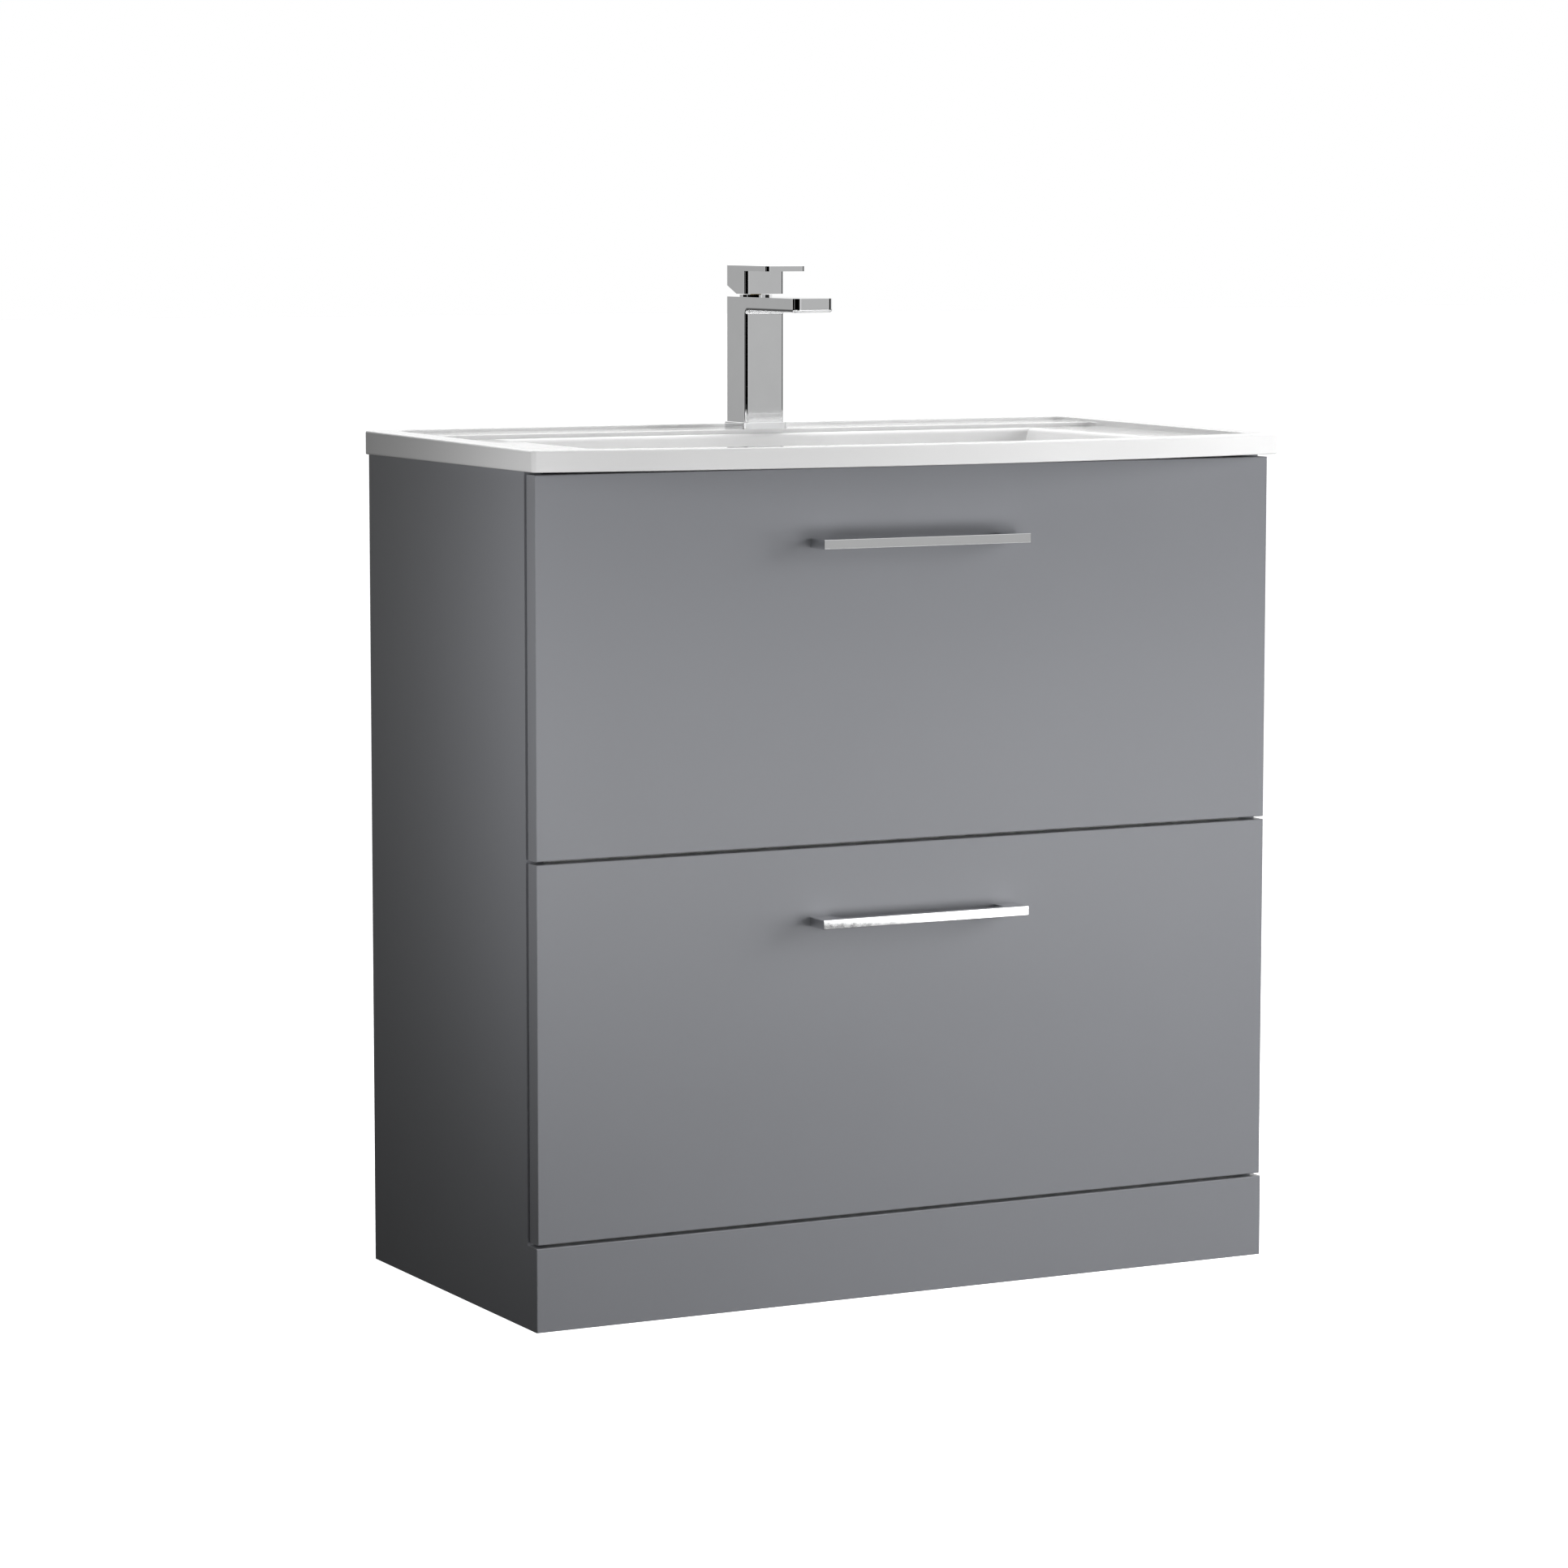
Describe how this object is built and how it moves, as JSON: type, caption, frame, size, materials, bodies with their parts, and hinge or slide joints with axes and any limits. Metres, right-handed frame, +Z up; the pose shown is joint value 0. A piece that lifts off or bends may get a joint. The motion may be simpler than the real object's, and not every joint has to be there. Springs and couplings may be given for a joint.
{
  "type": "bathroom vanity cabinet",
  "caption": "Floor-standing bathroom vanity with gloss grey drawer fronts on ball runners, bar handles, a bow-fronted ceramic basin and a square lever mixer tap.",
  "frame": {"origin": "on the floor, under the centre of the overall box", "axes": "+Z up, -Y towards the person using it, +Y towards the wall, +X to that person's right"},
  "size_m": [0.81, 0.44, 0.9892],
  "materials": {
    "gloss_board": "high-gloss grey lacquer on board",
    "white_board": "white melamine-faced board",
    "glazed_white": "gloss white glaze",
    "chrome_plate": "polished chrome plate",
    "zinc_steel": "bright zinc-plated sheet",
    "hard_steel": "plain hardened steel",
    "brass_rod": "plain turned brass",
    "dark_plastic": "satin black moulding",
    "grey_plastic": "satin light grey moulding",
    "white_plastic": "white moulding",
    "seal_rubber": "black rubber"
  },
  "bodies": {
    "cabinet": {"left_side_panel": "gloss_board", "right_side_panel": "gloss_board", "bottom_panel": "white_board", "front_mid_rail": "white_board", "rear_top_rail": "white_board", "rear_bottom_rail": "white_board", "cam_discs": "zinc_steel", "cam_bolts": "hard_steel", "plinth_board": "gloss_board", "wall_brackets": "zinc_steel", "plinth_brackets": "zinc_steel", "bracket_screws": "hard_steel", "front_bumpers": "seal_rubber", "runner_cabinet_members": "zinc_steel", "basin": "glazed_white", "overflow_ring": "chrome_plate", "waste_body": "chrome_plate", "waste_upper_seal": "seal_rubber", "waste_lower_seal": "seal_rubber", "waste_nut": "white_plastic", "tap_body": "chrome_plate", "tap_skirt": "chrome_plate", "tap_base_seal": "seal_rubber", "tap_fixing_stud": "hard_steel", "tap_clamp_washer": "zinc_steel", "tap_clamp_nut": "brass_rod", "tap_aerator": "chrome_plate", "tap_cartridge": "grey_plastic", "cartridge_nut": "chrome_plate"},
    "lever_turret": {"cartridge_carrier": "dark_plastic", "lever_pivot_pin": "hard_steel"},
    "lever": {"tap_lever": "chrome_plate", "lever_spindle": "brass_rod", "lever_grub_screw": "hard_steel"},
    "plug": {"waste_plug": "chrome_plate"},
    "upper_drawer": {"upper_drawer_front": "gloss_board", "upper_handle": "chrome_plate", "upper_handle_screws": "hard_steel", "upper_drawer_left_side": "white_board", "upper_drawer_right_side": "white_board", "upper_drawer_inner_front": "white_board", "upper_front_screws": "hard_steel", "upper_drawer_base": "white_board", "upper_drawer_back": "white_board", "upper_runner_inners": "zinc_steel", "upper_pipe_guard": "grey_plastic"},
    "upper_runner": {"upper_runner_middles": "zinc_steel", "upper_runner_balls": "hard_steel"},
    "lower_drawer": {"lower_drawer_front": "gloss_board", "lower_handle": "chrome_plate", "lower_handle_screws": "hard_steel", "lower_drawer_left_side": "white_board", "lower_drawer_right_side": "white_board", "lower_drawer_inner_front": "white_board", "lower_front_screws": "hard_steel", "lower_drawer_base": "white_board", "lower_drawer_back": "white_board", "lower_runner_inners": "zinc_steel"},
    "lower_runner": {"lower_runner_middles": "zinc_steel", "lower_runner_balls": "hard_steel"}
  },
  "joints": [
    {"name": "upper_drawer_slide", "type": "slide", "parent": "cabinet", "child": "upper_drawer", "axis": [0, -1, 0], "range_m": [0, 0.29]},
    {"name": "upper_runner_slide", "type": "slide", "parent": "cabinet", "child": "upper_runner", "axis": [0, -1, 0], "range_m": [0, 0.145]},
    {"name": "lower_drawer_slide", "type": "slide", "parent": "cabinet", "child": "lower_drawer", "axis": [0, -1, 0], "range_m": [0, 0.29]},
    {"name": "lower_runner_slide", "type": "slide", "parent": "cabinet", "child": "lower_runner", "axis": [0, -1, 0], "range_m": [0, 0.145]},
    {"name": "lever_swivel", "type": "hinge", "parent": "cabinet", "child": "lever_turret", "pos_m": [0, 0.1655, 0.9542], "axis": [0, 0, 1], "range_deg": [-45, 45]},
    {"name": "lever_tilt", "type": "hinge", "parent": "lever_turret", "child": "lever", "pos_m": [0, 0.1655, 0.9542], "axis": [-1, 0, 0], "range_deg": [0, 20]},
    {"name": "plug_lift", "type": "slide", "parent": "cabinet", "child": "plug", "axis": [0, 0, 1], "range_m": [0, 0.007]}
  ],
  "couplings": [
    {"joint": "upper_runner_slide", "follows": "upper_drawer_slide", "ratio": 0.5},
    {"joint": "lower_runner_slide", "follows": "lower_drawer_slide", "ratio": 0.5}
  ]
}
